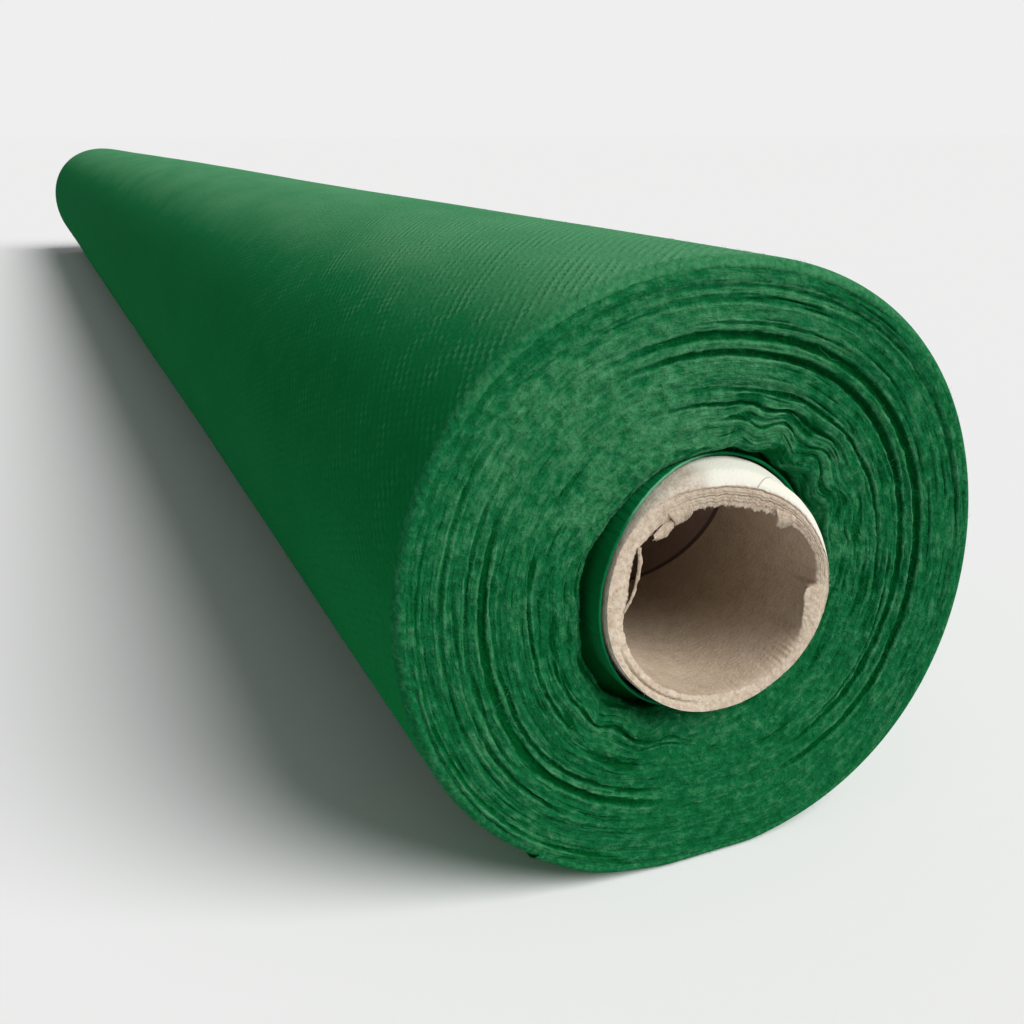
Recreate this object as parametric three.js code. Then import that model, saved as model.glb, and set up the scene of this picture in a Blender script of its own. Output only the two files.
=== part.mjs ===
import * as THREE from 'three';
import { mergeVertices } from 'three/addons/utils/BufferGeometryUtils.js';

// A roll of green non-woven cloth, wound on a paperboard core tube and lying on its side.
// Millimetres, +Z up. The roll lies along Y, its near end faces -Y, and it rests on z = 0.
// Angles are in degrees round the roll, from +X up towards +Z, as seen from the near end.

// Driving dimensions: the wound cloth
const CLOTH_WIDTH = 1600;      // rim to rim, along the roll
const ROLL_RADIUS = 75.4;      // mean radius of the wound cloth
const OVALITY = 1.9;           // the long axis of the section stands out by this much
const OVAL_ANGLE = -27.5;      // where the long axis points
const SQUARENESS = 0.72;       // the section's corners stand out by this much
const FAR_ROUNDING = 0.8;      // share of the ovality and squareness left at the far end
const AXIS_HEIGHT = 72.9;      // axis above the floor, about 1 mm less than the section reaches
const CLOTH_THICKNESS = 0.5;   // one turn
const LAP_END = -127;          // where the outermost turn ends, low on the left
const LAP_SLACK = 0.9;         // the last stretch before that end hangs off the roll by this much
const LAP_SLACK_SPAN = 28;     // degrees that the slack stretch covers

// Driving dimensions: the core tube
const CORE_BORE = 50.8;
const CORE_WALL = 3.8;
const CORE_PROUD = 2;          // the core stands out of the rim by this much at both ends
const FIT_GAP = 0.3;           // between the core and the first turn

// The first turns cling to the core and stand out of the face as a collar round it
const COLLAR_WALL = 0.8;
const COLLAR_PROUD = 1;

// The near rim of the core is pressed in at the top, so the outside slopes down to its edge
const DENT_DEPTH = 4.6;
const DENT_MIDDLE = 72;
const DENT_HALF_SPAN = 62;
const DENT_SLOPE = 2.5;        // length of the slope outside, along the tube
const DENT_REACH = 14;         // how far the dent reaches inside the bore

const COLUMNS = 72;            // sections round the roll
const LAP_STEP = 0.5;          // degrees in which the lap's end steps down

const CORE_RADIUS = CORE_BORE / 2 + CORE_WALL;
const BORE_RADIUS = CORE_RADIUS + FIT_GAP;
const COLLAR_RADIUS = BORE_RADIUS + COLLAR_WALL;
const NEAR_RIM = -CLOTH_WIDTH / 2;
const FAR_RIM = CLOTH_WIDTH / 2;

// Places where the inner turns stand away from the collar and leave a dark gap
const GAP_CLOSED = 1.1;
const GAPS = [
  { middle: 198, halfSpan: 62, opening: 3.4 },
  { middle: 47, halfSpan: 34, opening: 3.6 },
];

// End faces, from the rim in to the lip beside the core. inset is measured in from the wound
// outline, depth from the rim back into the roll. The grooves are slacker bands of turns.
const NEAR_FACE = [
  { ring: 'shoulder', inset: 0, depth: 2.6 },
  { ring: 'shoulder', inset: 0.8, depth: 0.8 },
  { ring: 'outer band', inset: 2.6, depth: 0 },
  { ring: 'outer band', inset: 5.6, depth: 0.1 },
  { ring: 'slit', inset: 6.1, depth: 1.8 },
  { ring: 'second band', inset: 6.7, depth: 0.6 },
  { ring: 'second band', inset: 13.7, depth: 1.0 },
  { ring: 'outer groove', inset: 14.7, depth: 5.0 },
  { ring: 'middle band', inset: 15.8, depth: 1.5 },
  { ring: 'middle band', inset: 18.4, depth: 1.7 },
  { ring: 'inner groove', inset: 19.4, depth: 4.6 },
  { ring: 'inner band', inset: 20.4, depth: 2.0 },
  { ring: 'inner band', inset: 32.0, depth: 3.4 },
];
const FAR_FACE = [
  { ring: 'shoulder', inset: 0, depth: 2.6 },
  { ring: 'shoulder', inset: 0.8, depth: 0.8 },
  { ring: 'outer band', inset: 2.6, depth: 0 },
  { ring: 'outer band', inset: 16.6, depth: 1.0 },
  { ring: 'groove', inset: 17.6, depth: 4.0 },
  { ring: 'inner band', inset: 18.8, depth: 1.4 },
  { ring: 'inner band', inset: 32.0, depth: 2.6 },
];
const LIP_DEPTH = 4.6;
const GAP_DEPTH = 15;

// The side of the roll swells and dips a little along its length
const SIDE = [
  { along: 0.05, swell: 0.1 },
  { along: 0.2, swell: -0.2 },
  { along: 0.35, swell: 0.3 },
  { along: 0.5, swell: 0.5 },
  { along: 0.65, swell: 0.3 },
  { along: 0.8, swell: -0.2 },
  { along: 0.95, swell: 0.1 },
];

const rad = THREE.MathUtils.degToRad;

// How far an angle is from another, in degrees, always between 0 and 180
function angleBetween(a, b) {
  const turn = THREE.MathUtils.euclideanModulo(a - b, 360);
  return Math.min(turn, 360 - turn);
}

// A soft hill: 1 at the middle, 0 at half a span away and beyond
function hill(angle, middle, halfSpan) {
  const away = Math.min(angleBetween(angle, middle) / halfSpan, 1);
  return (1 + Math.cos(Math.PI * away)) / 2;
}

// The outside of the wound cloth: an oval, slightly square section. From the free end round it
// sinks by one thickness of cloth in each turn, and the last stretch before that end is slack.
// It is cut level where the roll's weight presses it on the floor.
function woundRadius(angle, along, swell) {
  const farShare = THREE.MathUtils.mapLinear(along, NEAR_RIM, FAR_RIM, 1, FAR_ROUNDING);
  const oval = OVALITY * Math.cos(rad(2 * (angle - OVAL_ANGLE)));
  const square = -SQUARENESS * Math.cos(rad(4 * angle));
  const turn = CLOTH_THICKNESS * (0.5 - (angle - LAP_END) / 360);
  const slack = LAP_SLACK * hill(angle, LAP_END + LAP_SLACK_SPAN / 2, LAP_SLACK_SPAN / 2);
  const round = ROLL_RADIUS + farShare * (oval + square) + turn + slack + swell;
  const down = -Math.sin(rad(angle));
  return round * down > AXIS_HEIGHT ? AXIS_HEIGHT / down : round;
}

// Where the inner turns begin: close to the collar, and further off at the gaps
function lipRadius(angle) {
  const openings = GAPS.map((gap) => gap.opening * hill(angle, gap.middle, gap.halfSpan));
  return COLLAR_RADIUS + GAP_CLOSED + Math.max(...openings);
}

// Each ring gives its radius at an angle and its place along the roll
function faceRing(row, rim, inward) {
  const along = rim + inward * row.depth;
  const share = 1 - row.inset / (ROLL_RADIUS - COLLAR_RADIUS);
  const radius = (angle) => COLLAR_RADIUS + share * (woundRadius(angle, along, 0) - COLLAR_RADIUS);
  return { along, radius };
}

function sideRing(row) {
  const along = NEAR_RIM + row.along * CLOTH_WIDTH;
  return { along, radius: (angle) => woundRadius(angle, along, row.swell) };
}

// Round the core: the lip of the turns, the bottom of the gap, and the collar
function coreRings(rim, inward, lip) {
  return [
    { along: rim + inward * LIP_DEPTH, radius: lip },
    { along: rim + inward * GAP_DEPTH, radius: lip },
    { along: rim + inward * GAP_DEPTH, radius: () => COLLAR_RADIUS },
    { along: rim - inward * COLLAR_PROUD, radius: () => COLLAR_RADIUS },
    { along: rim - inward * COLLAR_PROUD, radius: () => BORE_RADIUS },
  ];
}

// The angles of the columns: even steps from the lap's end, the last one drawn up close to that
// end again, so that the lap ends in a step
function columnAngle(column) {
  return column === COLUMNS - 1 ? LAP_END + 360 - LAP_STEP : LAP_END + column * (360 / COLUMNS);
}

// A closed ring of a profile, turned round the roll's axis, with each ring's own radius at each
// angle. The rings run up the outside towards +Y and back through the bore.
function turnedSolid(rings) {
  const profile = [...rings, rings[0]];
  const turned = new THREE.LatheGeometry(profile.map((ring) => new THREE.Vector2(1, ring.along)), COLUMNS);
  const spots = turned.attributes.position;
  for (let i = 0; i < spots.count; i += 1) {
    const ring = profile[i % profile.length];
    const column = Math.floor(i / profile.length) % COLUMNS;
    const angle = columnAngle(column);
    const radius = ring.radius(angle);
    const x = radius * Math.cos(rad(angle));
    const z = AXIS_HEIGHT + radius * Math.sin(rad(angle));
    spots.setXYZ(i, x, ring.along, z);
  }
  turned.deleteAttribute('normal');
  turned.deleteAttribute('uv');
  return turnFacesOut(mergeVertices(turned));
}

// A lathe turned from +X towards +Z has its faces the wrong way round, so each is reversed
function turnFacesOut(geometry) {
  const corners = geometry.index;
  for (let i = 0; i < corners.count; i += 3) {
    const first = corners.getX(i);
    corners.setX(i, corners.getX(i + 1));
    corners.setX(i + 1, first);
  }
  geometry.computeVertexNormals();
  return geometry;
}

function woundCloth() {
  const near = [...NEAR_FACE.map((row) => faceRing(row, NEAR_RIM, 1)), ...coreRings(NEAR_RIM, 1, lipRadius)];
  const farLip = () => COLLAR_RADIUS + GAP_CLOSED;
  const far = [...FAR_FACE.map((row) => faceRing(row, FAR_RIM, -1)), ...coreRings(FAR_RIM, -1, farLip)];
  return turnedSolid([...near.reverse(), ...SIDE.map(sideRing), ...far]);
}

// The core tube, its near rim pressed in at the top
function coreTube() {
  const nearEnd = NEAR_RIM - CORE_PROUD;
  const farEnd = FAR_RIM + CORE_PROUD;
  const boreRadius = CORE_BORE / 2;
  const dent = (angle) => DENT_DEPTH * hill(angle, DENT_MIDDLE, DENT_HALF_SPAN);
  return turnedSolid([
    { along: nearEnd + DENT_REACH, radius: () => boreRadius },
    { along: nearEnd + DENT_REACH / 2, radius: (angle) => boreRadius - dent(angle) / 3 },
    { along: nearEnd, radius: (angle) => boreRadius - dent(angle) },
    { along: nearEnd, radius: (angle) => CORE_RADIUS - dent(angle) },
    { along: nearEnd + DENT_SLOPE, radius: () => CORE_RADIUS },
    { along: 0, radius: () => CORE_RADIUS },
    { along: farEnd, radius: () => CORE_RADIUS },
    { along: farEnd, radius: () => boreRadius },
    { along: 0, radius: () => boreRadius },
  ]);
}

function piece(name, geometry, color, roughness) {
  const mesh = new THREE.Mesh(geometry, new THREE.MeshStandardMaterial({ color, roughness, metalness: 0 }));
  mesh.name = name;
  return mesh;
}

const roll = new THREE.Group();
roll.add(piece('cloth_roll', woundCloth(), 0x1f7a45, 0.9));
roll.add(piece('core_tube', coreTube(), 0xb59a7c, 0.85));

export default roll;
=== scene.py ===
# %% [markdown]
# # A roll of non-woven cloth on a board core
# This file is a lesson in cells. It makes the looks of one object: about 30 m of green felt-like
# cloth, 1.6 m wide, wound on a brown paperboard tube and laid on its side. The cloth is soft and
# matt, with rows of tiny bonded dashes pressed into it. At the near end every turn shows its cut
# edge, and the torn rim of the tube stands a little proud.
#
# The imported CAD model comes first, because it fixes where everything is. Its two solids, the
# wound cloth and the tube, are plain. Each is replaced here by pieces of the same size that have
# the turns, the cut edges, the torn board and the loose fibres.

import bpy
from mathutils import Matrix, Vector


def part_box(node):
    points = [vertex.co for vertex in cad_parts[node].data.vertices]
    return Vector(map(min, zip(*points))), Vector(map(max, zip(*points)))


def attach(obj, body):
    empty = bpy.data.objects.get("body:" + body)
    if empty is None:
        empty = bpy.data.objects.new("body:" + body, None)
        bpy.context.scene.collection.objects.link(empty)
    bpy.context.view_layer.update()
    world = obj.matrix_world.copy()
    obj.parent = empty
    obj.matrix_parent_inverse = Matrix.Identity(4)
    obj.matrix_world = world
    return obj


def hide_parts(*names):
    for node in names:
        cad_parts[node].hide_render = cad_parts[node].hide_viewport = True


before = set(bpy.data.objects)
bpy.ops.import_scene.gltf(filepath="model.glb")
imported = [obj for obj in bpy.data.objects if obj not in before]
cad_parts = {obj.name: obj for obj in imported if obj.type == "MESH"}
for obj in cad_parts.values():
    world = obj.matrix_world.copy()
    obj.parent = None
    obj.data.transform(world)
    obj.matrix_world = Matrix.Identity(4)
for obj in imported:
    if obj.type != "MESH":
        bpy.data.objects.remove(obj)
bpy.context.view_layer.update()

# %% The other libraries
import math

import bmesh
import bpy
import numpy as np
from mathutils import Vector

# %% [markdown]
# ## Sizes
# Blender works in metres, but cloth and board are thought of in millimetres, so every rule below
# gives millimetres and the last step multiplies by MM. The roll lies along Y and its near end
# faces -Y. Angles run round the roll from +X up towards +Z. Depths are measured from a rim into
# the roll. The places come from the parts of the imported model, and the rest are the sizes of the real
# thing.
#
# Both ends follow one rule with different settings: the far end is wound a little rounder and
# tighter, and its pattern of slack turns is turned round, so that it isn't a copy.

# %% Sizes of the roll, in millimetres and degrees
MM = 0.001
COLLAR_PROUD = 1.0
cloth_low, cloth_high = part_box("cloth_roll")
core_low, core_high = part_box("core_tube")
AXIS_HEIGHT = (core_low.z + core_high.z) / 2 / MM
NEAR_RIM = cloth_low.y / MM + COLLAR_PROUD
FAR_RIM = cloth_high.y / MM - COLLAR_PROUD
CORE_PROUD = core_high.y / MM - FAR_RIM

ROLL_RADIUS = 75.4
OVALITY = 1.9
OVAL_ANGLE = -27.5
SQUARENESS = 0.72
FAR_ROUNDING = 0.8
CLOTH_THICKNESS = 0.5
LAP_END = -127.0
LAP_SLACK = 0.9
LAP_SLACK_SPAN = 28.0

TUBE_INSIDE = 25.4
TUBE_OUTSIDE = 29.2
CLOTH_INSIDE = 29.5
COLLAR_RADIUS = 30.3
print("axis height", round(AXIS_HEIGHT, 3), "rims", round(NEAR_RIM, 3), round(FAR_RIM, 3))

# %% The two ends, which are made by one rule, their patterns turned by an angle in radians
NEAR = {"Rim": NEAR_RIM, "Inward": 1.0, "Slackness": 1.0, "Pattern turned by": 0.0, "Section share": 1.0}
FAR = {"Rim": FAR_RIM, "Inward": -1.0, "Slackness": 0.45, "Pattern turned by": 2.4,
       "Section share": FAR_ROUNDING}


def table(columns, *rows):
    """Rows of sizes, each with its values by name."""
    return [dict(zip(columns.split(), row)) for row in rows]


# %% [markdown]
# ## Arithmetic on sockets
# Geometry nodes and materials are both node trees, and both are mostly arithmetic. Adding each
# Math node by hand would bury the idea, so one small class wraps a number socket and lets Python's
# operators add the nodes. One method of the graph adds every other kind of node.

# %% A number in a node tree
class Num:
    """A number socket. Python's operators on it add Math nodes to its graph."""

    def __init__(self, graph, socket):
        self.graph = graph
        self.socket = socket

    def math(self, operation, *values):
        return self.graph.number("ShaderNodeMath", {"operation": operation}, dict(enumerate(values)))

    def __add__(self, other):
        return self.math("ADD", self, other)

    def __sub__(self, other):
        return self.math("SUBTRACT", self, other)

    def __rsub__(self, other):
        return self.math("SUBTRACT", other, self)

    def __mul__(self, other):
        return self.math("MULTIPLY", self, other)

    def __truediv__(self, other):
        return self.math("DIVIDE", self, other)

    def __rtruediv__(self, other):
        return self.math("DIVIDE", other, self)

    def __neg__(self):
        return self.math("MULTIPLY", self, -1.0)

    def __abs__(self):
        return self.math("ABSOLUTE", self)

    __radd__ = __add__
    __rmul__ = __mul__


# %% The graph that holds it
class Graph:
    """A node tree with one method that adds a node: its settings first, then its sockets."""

    def __init__(self, tree):
        self.tree = tree
        tree.nodes.clear()

    def feed(self, socket, value):
        if isinstance(value, Num):
            value = value.socket
        if isinstance(value, bpy.types.NodeSocket):
            self.tree.links.new(value, socket)
        else:
            socket.default_value = value

    def add(self, kind, settings=None, sockets=None):
        made = self.tree.nodes.new(kind)
        for name, value in (settings or {}).items():
            if name == "stops":
                self.set_stops(made.color_ramp, value)
            else:
                setattr(made, name, value)
        for key, value in (sockets or {}).items():
            self.feed(made.inputs[key], value)
        return made

    def set_stops(self, ramp, stops):
        while len(ramp.elements) < len(stops):
            ramp.elements.new(0.5)
        for element, (place, color) in zip(ramp.elements, stops):
            element.position = place
            element.color = (*color, 1.0)

    def out(self, kind, settings=None, sockets=None, output=0):
        return self.add(kind, settings, sockets).outputs[output]

    def number(self, kind, settings=None, sockets=None, output=0):
        return Num(self, self.out(kind, settings, sockets, output))

    def vector(self, x, y, z):
        return self.out("ShaderNodeCombineXYZ", None, {0: x, 1: y, 2: z})

    def parts(self, vector):
        made = self.add("ShaderNodeSeparateXYZ", None, {0: vector})
        return [Num(self, made.outputs[i]) for i in range(3)]

    def noise(self, place, scale=1.0, detail=0.0, roughness=0.5):
        """Smooth noise from about -1 to 1 at a place."""
        sockets = {"Vector": place, "Scale": scale, "Detail": detail, "Roughness": roughness}
        return (self.number("ShaderNodeTexNoise", None, sockets) - 0.5) * 3.0

    def ramp(self, factor, *stops):
        return self.out("ShaderNodeValToRGB", {"stops": stops}, {0: factor})

    def blend(self, factor, first, second):
        """A colour part of the way from one to another. A Mix node takes colours at 6 and 7."""
        first, second = [(*c, 1.0) if isinstance(c, tuple) else c for c in (first, second)]
        sockets = {0: factor, 6: first, 7: second}
        return self.out("ShaderNodeMix", {"data_type": "RGBA"}, sockets, 2)


# %% [markdown]
# ## Rules for numbers and sockets alike
# The wound cloth isn't quite round: it is oval and a little square, and flat where it rests. The
# same rules are needed twice, on NumPy numbers for meshes made in Python and on sockets in a
# graph. So sine, cosine, a smooth rise and a few more are written once for both.

# %% Small functions that take a number or a socket
def cosine(angle):
    return angle.math("COSINE", angle) if isinstance(angle, Num) else np.cos(angle)


def sine(angle):
    return angle.math("SINE", angle) if isinstance(angle, Num) else np.sin(angle)


def whole(number):
    return number.math("FLOOR", number)


def square_root(number):
    return number.math("SQRT", number)


def largest(a, b):
    return a.math("MAXIMUM", a, b) if isinstance(a, Num) else np.maximum(a, b)


def softer_least(a, b, blend):
    """The smaller of two values, rounded off where they meet."""
    if isinstance(a, Num):
        return a.math("SMOOTH_MIN", a, b, blend)
    overlap = np.maximum(blend - np.abs(a - b), 0.0) / blend
    return np.minimum(a, b) - overlap ** 3 * blend / 6.0


def rise(value, start, end):
    """0 before start and 1 after end, with a smooth rise between them. A start above the end falls."""
    if isinstance(value, Num):
        sockets = {"Value": value, "From Min": start, "From Max": end}
        return value.graph.number("ShaderNodeMapRange", {"interpolation_type": "SMOOTHSTEP"}, sockets)
    part = np.clip((value - start) / (end - start), 0.0, 1.0)
    return part * part * (3.0 - 2.0 * part)


def window(angle, middle, half_span, flat=0.4):
    """1 near an angle and 0 far from it. The angle is in radians, the middle and span in degrees."""
    near = cosine(angle - math.radians(middle))
    return rise(near, math.cos(math.radians(half_span)), math.cos(math.radians(half_span * flat)))


# %% The section of the roll
FLOOR_SOFTNESS = 0.5


def section(angle, share):
    """Radius of the wound cloth at an angle in radians. share is 1 at the near end."""
    oval = OVALITY * cosine(2.0 * (angle - math.radians(OVAL_ANGLE)))
    square = -SQUARENESS * cosine(4.0 * angle)
    return ROLL_RADIUS + (oval + square) * share


def on_floor(radius, angle):
    """Cuts a radius off where the roll is pressed on the floor."""
    down = largest(-sine(angle), 0.2)
    return softer_least(radius, AXIS_HEIGHT / down, FLOOR_SOFTNESS)


for degrees in (0, 90, 180):
    print("radius at", degrees, "degrees:", round(float(section(math.radians(degrees), 1.0)), 2))

# %% [markdown]
# Beside the core the inner turns don't close up: they leave a dark gap, wider on the left and at
# the upper right. From there out to the skin the face of the roll is a shallow dish, deeper
# towards the core, in a few low steps.

# %% The gap beside the core and the dish of the face, in mm and degrees, its waves in radians
GAP_CLOSED = 0.5
GAPS = table("middle half_span opening",
    (200, 56, 1.7),
    (224, 32, 1.2),
    (52, 44, 0.5))
LIP_WAVES = table("waves height turned",
    (5, 0.14, 0.4),
    (9, 0.14, 2.0),
    (14, 0.11, 4.1),
    (23, 0.06, 1.0))
SKIN_INSET = 2.5
UNDER_SKIN = 0.8
SHOULDER_IN = 2.5
SHOULDER_DEEP = 2.6
STEPS = table("inset rise width",
    (4.8, 0.45, 0.5),
    (13.5, 0.6, 2.5),
    (18.5, 0.7, 2.0),
    (25.5, 0.5, 1.5),
    (30.0, 0.6, 2.0),
    (36.0, 0.5, 3.0),
    (41.5, 0.5, 3.0))


def lip_radius(angle, slackness):
    """Where the inner turns begin. The slackness says how far the gaps are open."""
    radius = COLLAR_RADIUS + GAP_CLOSED
    for gap in GAPS:
        radius = window(angle, gap["middle"], gap["half_span"]) * gap["opening"] * slackness + radius
    for wave in LIP_WAVES:
        radius = sine(angle * wave["waves"] + wave["turned"]) * wave["height"] + radius
    return radius


def face_depth(inset):
    """How deep the face lies below the rim, at an inset from the outside of the roll."""
    depth = rise(inset, SKIN_INSET + 1.5, SKIN_INSET - 0.6) * 0.35
    for step in STEPS:
        depth = rise(inset, step["inset"], step["inset"] + step["width"]) * step["rise"] + depth
    return depth


def lip_at(angle, end):
    """The same lip for one of the two ends."""
    return lip_radius(angle + end["Pattern turned by"], end["Slackness"])


for degrees in (190, 47):
    print("lip at", degrees, "degrees:", round(float(lip_at(math.radians(degrees), NEAR)), 2))


# %% [markdown]
# ## Meshes from rings
# The outside of the cloth, the collar and the tube are all turned shapes: rings of points, each at
# its own radius and depth. One helper joins a table of rings into a closed mesh, and gives it a
# UV map in millimetres of real cloth or board, so that a pattern can follow the surface.

# %% A closed grid of quads
def new_object(name, mesh):
    made = bpy.data.objects.new(name, mesh)
    bpy.context.scene.collection.objects.link(made)
    return made


def closed_grid(name, spots, uvs):
    """A torus of quads. spots is rings x columns x 3 in mm, and both directions close on themselves.
    uvs is rings+1 x columns+1 x 2."""
    rings, columns = spots.shape[:2]
    ring, column = np.meshgrid(np.arange(rings), np.arange(columns), indexing="ij")
    after, beside = (ring + 1) % rings, (column + 1) % columns
    corners = [(ring, column), (ring, beside), (after, beside), (after, column)]
    faces = np.stack([(r * columns + c).ravel() for r, c in corners], axis=1)
    uv_corners = [(ring, column), (ring, column + 1), (ring + 1, column + 1), (ring + 1, column)]
    corner_uvs = np.stack([uvs[r, c].reshape(-1, 2) for r, c in uv_corners], axis=1)
    mesh = bpy.data.meshes.new(name)
    mesh.from_pydata((spots.reshape(-1, 3) * MM).tolist(), [], faces.tolist())
    layer = mesh.uv_layers.new(name="real size")
    layer.data.foreach_set("uv", corner_uvs.reshape(-1).astype(np.float32))
    mesh.shade_smooth()
    return mesh


# %% Small helpers for meshes
def mark_points(mesh, name, values):
    """Keeps a number on each point of a mesh, for its material or for the fibres that grow on it."""
    layer = mesh.attributes.new(name, "FLOAT", "POINT")
    layer.data.foreach_set("value", np.asarray(values, dtype=np.float32).ravel())


def at_angle(radius, along, angle):
    """Points at a radius and angle round the roll's axis, in mm."""
    radius, along, angle = np.broadcast_arrays(radius, along, angle)
    return np.stack([radius * np.cos(angle), along, AXIS_HEIGHT + radius * np.sin(angle)], axis=-1)


def turn_outwards(mesh):
    """Turns the faces of a closed mesh out: its volume, summed over its faces, must be positive."""
    volume = sum(face.center.dot(face.normal) * face.area for face in mesh.polygons)
    if volume < 0.0:
        mesh.flip_normals()


def wobble(angle, fewest, most, seed):
    """Uneven waves, about -1 to 1, that meet themselves after a full turn."""
    random = np.random.default_rng(seed)
    total = 0.0 * angle
    for waves in range(fewest, most):
        height = random.normal(0.0, 1.0) / math.sqrt(most - fewest)
        total = total + height * np.sin(waves * angle + random.uniform(0.0, 2 * math.pi))
    return total


# %% [markdown]
# ## The wound ends
# Looked at from the end, the roll is one long spiral of cut cloth edges. It could be drawn as
# stripes on a disc, but then light could not fall into the slack turns, which is what makes a
# wound roll look wound. So the end is a real spiral surface. It follows a rule, so geometry nodes
# make it: a grid has one column for each small step round the roll and two rows for each turn,
# one in the narrow groove between two turns and one on top of the cut edge. A point's number gives
# its column and row, and these give the angle and the turn. The last column of one turn meets the
# first column of the next, and Merge by Distance closes them into one spiral. Three more rows go
# down the inside as a wall beside the core.
#
# The tables give what the light shows most: grooves where the cloth was wound loosely, places
# where the inner turns buckle, and places where the edges are so felted that the turns fade.
# inset is how far in from the outside a groove lies, and the drift says that it lies deeper in
# towards one side.

# %% Tables of the wound ends
TURNS = 88
ROWS = 2
WELD = 0.004
WALL_ROWS = 3
WALL_STEP = 2.0
DRIFT_ANGLE = 82.0
GROOVES = table("inset drift depth width middle half_span",
    (5.4, 0.6, 0.35, 0.45, 50, 60),
    (8.0, 0.6, 0.30, 0.70, 84, 34),
    (13.0, 0.6, 0.30, 0.35, 80, 28),
    (17.0, -0.6, 1.10, 0.85, 26, 112),
    (15.6, 1.0, 0.35, 0.45, 182, 44),
    (21.6, -1.4, 1.00, 0.72, 28, 106),
    (19.3, 1.2, 0.90, 0.80, 206, 64),
    (21.8, 0.8, 0.45, 0.45, 208, 58),
    (27.6, 0.6, 0.50, 0.45, 45, 66),
    (30.8, 0.8, 0.55, 0.45, 74, 40),
    (34.6, 0.4, 0.40, 0.40, 60, 44),
    (30.2, 0.6, 0.40, 0.45, 192, 44),
    (9.8, 0.4, 0.35, 0.60, 185, 56),
    (13.2, 0.4, 0.35, 0.50, 205, 50),
    (4.6, 0.2, 0.35, 0.45, 205, 64),
    (34.4, 0.6, 0.45, 0.45, 230, 44),
    (24.5, 0.6, 0.40, 0.45, -30, 38))
SUNKEN = table("middle half_span reach depth",
    (34, 38, 3.2, 2.0),
    (226, 36, 3.5, 1.8),
    (148, 30, 2.0, 0.5))
BUCKLES = table("middle half_span height crest waves",
    (46, 50, 1.2, 23, 18),
    (-110, 38, 1.1, -114, 17))
FELTED = table("middle half_span share",
    (130, 48, 0.85),
    (-76, 48, 0.75))
print(len(GROOVES), "grooves,", TURNS, "turns")


# %% Where each point of the grid lies on the spiral
def spiral_places(graph, columns):
    """Angle, turns wound so far, row in the turn, and steps down the inner wall."""
    rows = ROWS * TURNS + WALL_ROWS
    index = graph.number("GeometryNodeInputIndex")
    column = whole((index + 0.5) / rows)
    row = index - column * rows
    wall = largest(WALL_ROWS - row, 0.0)
    row = largest(row - WALL_ROWS, 0.0)
    turn = whole((row + 0.5) / ROWS)
    angle = math.radians(LAP_END) - column / columns * (2 * math.pi)
    return angle, turn + column / columns, row - turn * ROWS, wall


# %% The slack turns: buckles and grooves
def buckled(pattern, share, slow):
    """How far the turns bulge out beside the core."""
    total = slow(5.0, 0.5, 7.0) * 0.14
    fade = rise(share, 0.42, 0.10) * (rise(share, 0.0, 0.1) * 0.6 + 0.4)
    for buckle in BUCKLES:
        wave = (pattern - math.radians(buckle["crest"])) * buckle["waves"] + slow(2.5, 0.12, 3.0) * 0.7
        place = window(pattern, buckle["middle"], buckle["half_span"])
        total = cosine(wave) * place * fade * buckle["height"] + total
    return total


def grooved(pattern, inset, slow):
    """How deep the slack bands are sunk, and how far their lips are raised."""
    drift = cosine(pattern - math.radians(DRIFT_ANGLE))
    wander = slow(2.2, 0.02, 11.0) * 0.28 + slow(14.0, 0.4, 17.0) * 0.18 + slow(46.0, 0.9, 19.0) * 0.14
    sunk, raised = 0.0, 0.0
    for groove in GROOVES:
        middle = drift * groove["drift"] + groove["inset"] + wander
        away = abs(inset - middle) / groove["width"]
        square = away * away
        uneven = rise(slow(3.0, 0.0, groove["inset"] * 3.0), -1.2, 0.2) * 0.5 + 0.5
        here = window(pattern, groove["middle"], groove["half_span"]) * uneven
        sunk = here * groove["depth"] / (square * square * square + 1.0) + sunk
        raised = here * rise(abs(away - 1.75), 0.65, 0.0) + raised
    return sunk, raised


# %% Felted and sunken places
def crispness(pattern, slow):
    """How far single turns show: less where their edges are felted together."""
    felt = 0.0
    for patch in FELTED:
        felt = window(pattern, patch["middle"], patch["half_span"], 0.1) * patch["share"] + felt
    return 1.0 - felt * rise(slow(5.0, 0.12, 71.0), -1.0, 0.2)


def sunk_beside_core(pattern, from_lip, slackness):
    """How deep the innermost turns are sunk, at a distance from the lip beside the core."""
    low = 0.0
    for patch in SUNKEN:
        close = rise(from_lip, patch["reach"], patch["reach"] * 0.45)
        here = window(pattern, patch["middle"], patch["half_span"]) * close
        low = here * patch["depth"] * slackness + low
    return low


# %% The start and the end of a tree that makes a mesh
def mesh_graph(name, inputs):
    """The graph of a new tree, the sockets of its inputs, and the same ones as numbers."""
    tree = bpy.data.node_groups.new(name, "GeometryNodeTree")
    for label, kind in inputs.items():
        tree.interface.new_socket(label, in_out="INPUT", socket_type="NodeSocket" + kind)
    tree.interface.new_socket("Mesh", in_out="OUTPUT", socket_type="NodeSocketGeometry")
    graph = Graph(tree)
    given = graph.add("NodeGroupInput").outputs
    return graph, given, {socket.name: Num(graph, socket) for socket in given if socket.name}


def finish_mesh(graph, mesh, surface):
    """Shades the mesh smooth, sets its material and hands it out of the tree."""
    mesh = graph.out("GeometryNodeSetShadeSmooth", None, {"Geometry": mesh})
    mesh = graph.out("GeometryNodeSetMaterial", None, {"Geometry": mesh, "Material": surface})
    graph.add("NodeGroupOutput", None, {"Mesh": mesh})
    return graph.tree


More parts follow.
